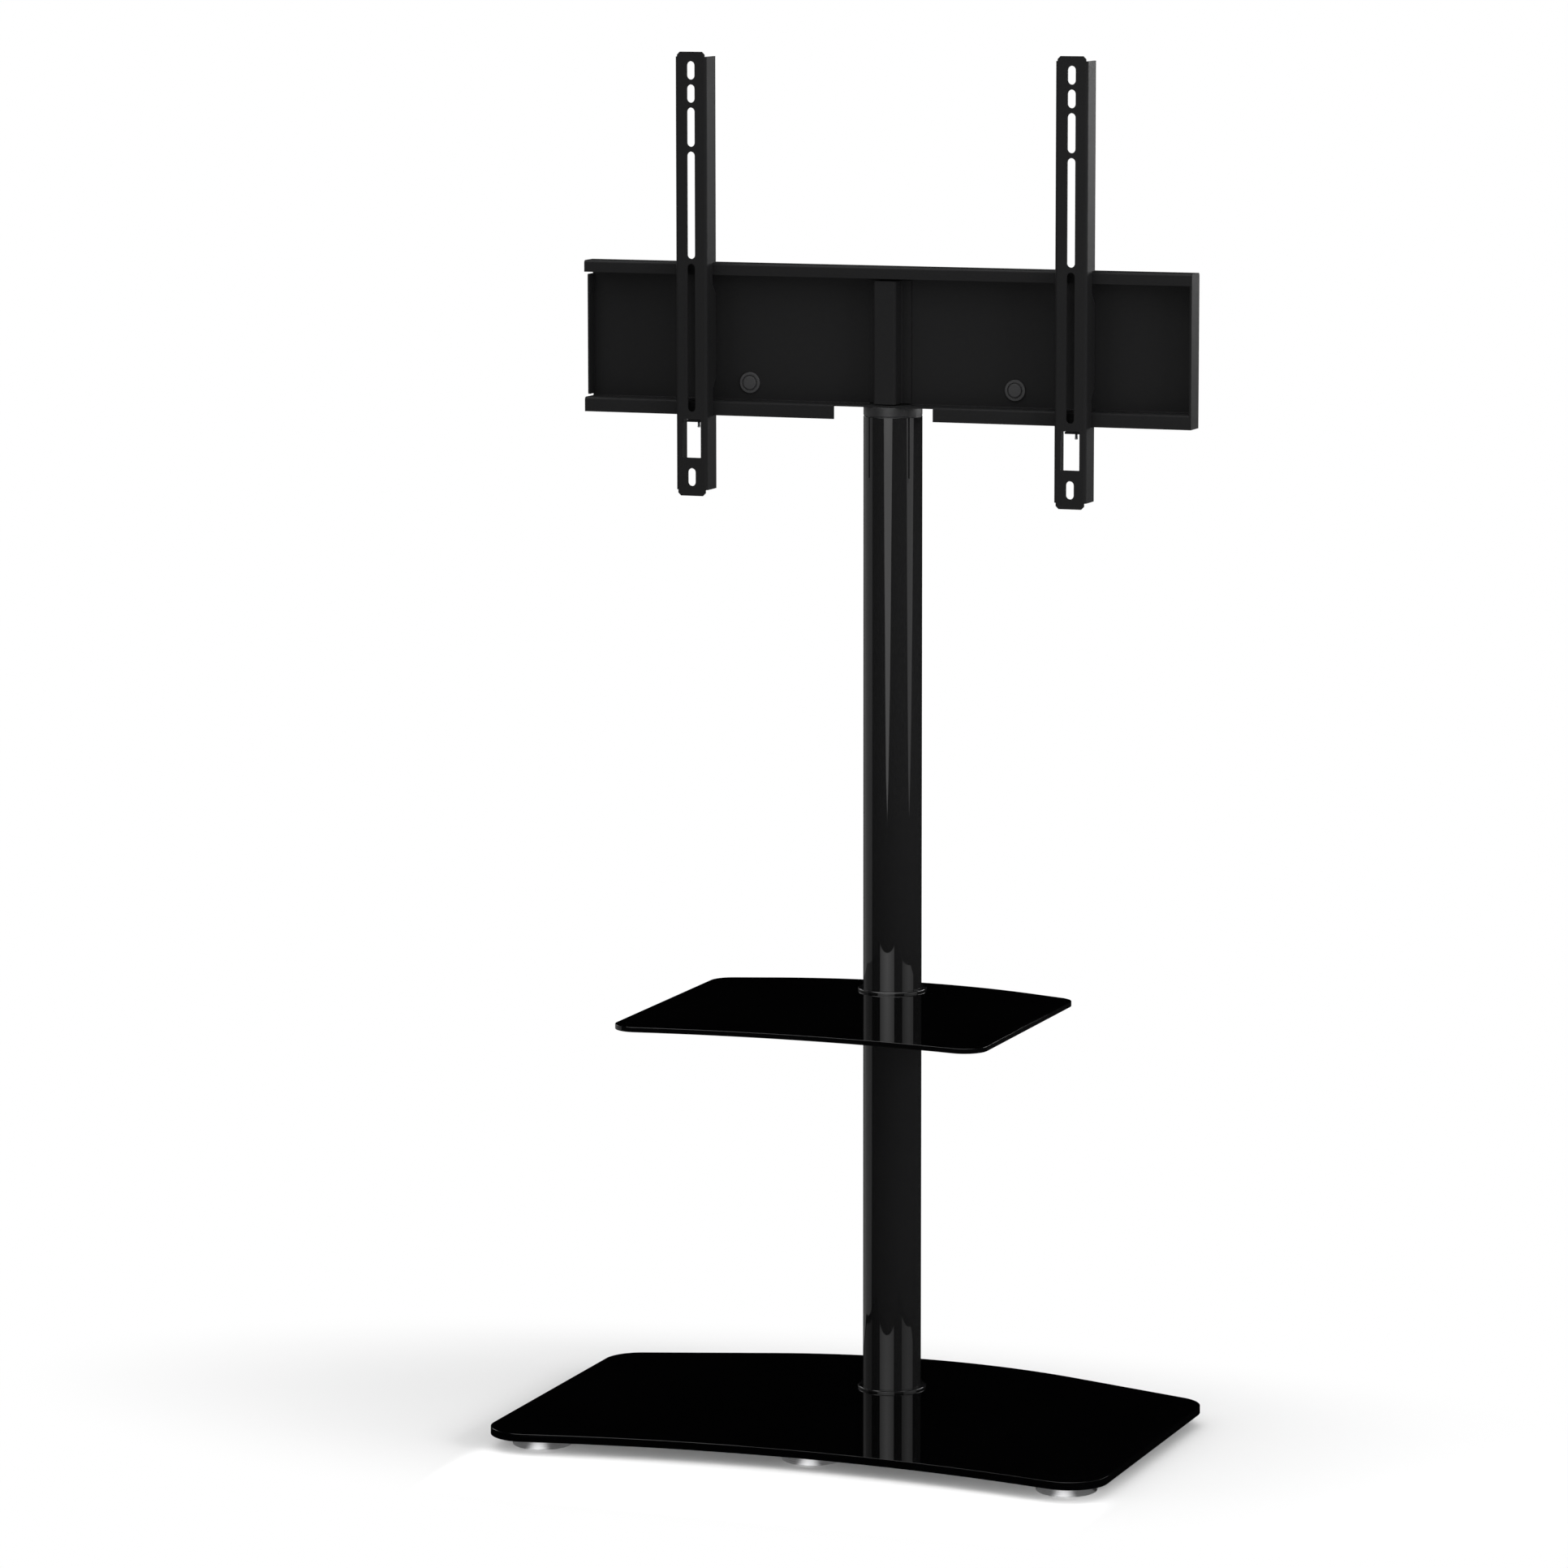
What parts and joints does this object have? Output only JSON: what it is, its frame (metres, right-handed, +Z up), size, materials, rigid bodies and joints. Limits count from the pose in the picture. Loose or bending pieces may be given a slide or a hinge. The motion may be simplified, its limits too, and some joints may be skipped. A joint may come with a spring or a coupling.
{
  "type": "floor television stand",
  "caption": "Floor stand for a flat screen: slotted rails on a swivelling steel tray, carried by a round column through a glass shelf to a glass base with steel feet.",
  "frame": {"origin": "middle of the whole outline, on the floor", "axes": "+Z up, +X to the right as seen from the screen side, -Y towards the viewer of the screen"},
  "size_m": [0.6526, 0.4565, 1.3982],
  "materials": {
    "black_glass": "tempered black glass with polished edges",
    "gloss_lacquer": "gloss black lacquer",
    "powder_coat": "fine matte black powder coat",
    "brushed_steel": "satin brushed steel",
    "zinc_steel": "zinc-plated steel",
    "rubber": "matte black rubber",
    "nylon": "matte black moulded nylon"
  },
  "bodies": {
    "stand": {"foot_front_left": "brushed_steel", "foot_front_middle": "brushed_steel", "foot_front_right": "brushed_steel", "foot_rear_left": "brushed_steel", "foot_rear_middle": "brushed_steel", "foot_rear_right": "brushed_steel", "foot_pad_front_left": "rubber", "foot_pad_front_middle": "rubber", "foot_pad_front_right": "rubber", "foot_pad_rear_left": "rubber", "foot_pad_rear_middle": "rubber", "foot_pad_rear_right": "rubber", "base_glass": "black_glass", "base_ring": "gloss_lacquer", "base_gasket": "rubber", "clamp_gasket": "rubber", "clamp_plate": "zinc_steel", "base_plug": "zinc_steel", "clamp_bolt_1": "zinc_steel", "clamp_bolt_2": "zinc_steel", "clamp_bolt_3": "zinc_steel", "clamp_bolt_4": "zinc_steel", "lower_column": "gloss_lacquer", "lower_grommet": "rubber", "lower_top_plug": "zinc_steel", "shelf_lower_ring": "gloss_lacquer", "shelf_lower_gasket": "rubber", "shelf_glass": "black_glass", "shelf_upper_gasket": "rubber", "shelf_ring": "gloss_lacquer", "upper_bottom_plug": "zinc_steel", "column_nipple": "zinc_steel", "upper_column": "gloss_lacquer", "upper_grommet": "rubber", "bearing_plug": "zinc_steel", "swivel_bush": "nylon", "stop_pin": "zinc_steel"},
    "head": {"swivel_collar": "powder_coat", "swivel_spindle": "zinc_steel", "spindle_washer": "zinc_steel", "spindle_nut": "zinc_steel", "tray": "powder_coat", "spine": "powder_coat", "disc_screw_left": "powder_coat", "disc_screw_right": "powder_coat", "head_plate": "powder_coat", "head_post": "powder_coat", "post_cap": "nylon", "backing_bar": "zinc_steel", "head_bolt_lower": "zinc_steel", "head_bolt_upper": "zinc_steel"},
    "rail_left_body": {"rail_left": "powder_coat", "hook_plate_left": "powder_coat", "lock_tab_left": "powder_coat", "lock_screw_left": "zinc_steel"},
    "rail_right_body": {"rail_right": "powder_coat", "hook_plate_right": "powder_coat", "lock_tab_right": "powder_coat", "lock_screw_right": "zinc_steel"}
  },
  "joints": [
    {"name": "head_swivel", "type": "hinge", "parent": "stand", "child": "head", "pos_m": [0, 0.09928, 1.0311], "axis": [0, 0, 1], "range_deg": [-30, 30]},
    {"name": "left_rail_slide", "type": "slide", "parent": "head", "child": "rail_left_body", "axis": [1, 0, 0], "range_m": [-0.099, 0.101]},
    {"name": "right_rail_slide", "type": "slide", "parent": "head", "child": "rail_right_body", "axis": [1, 0, 0], "range_m": [-0.1044, 0.0956]}
  ]
}
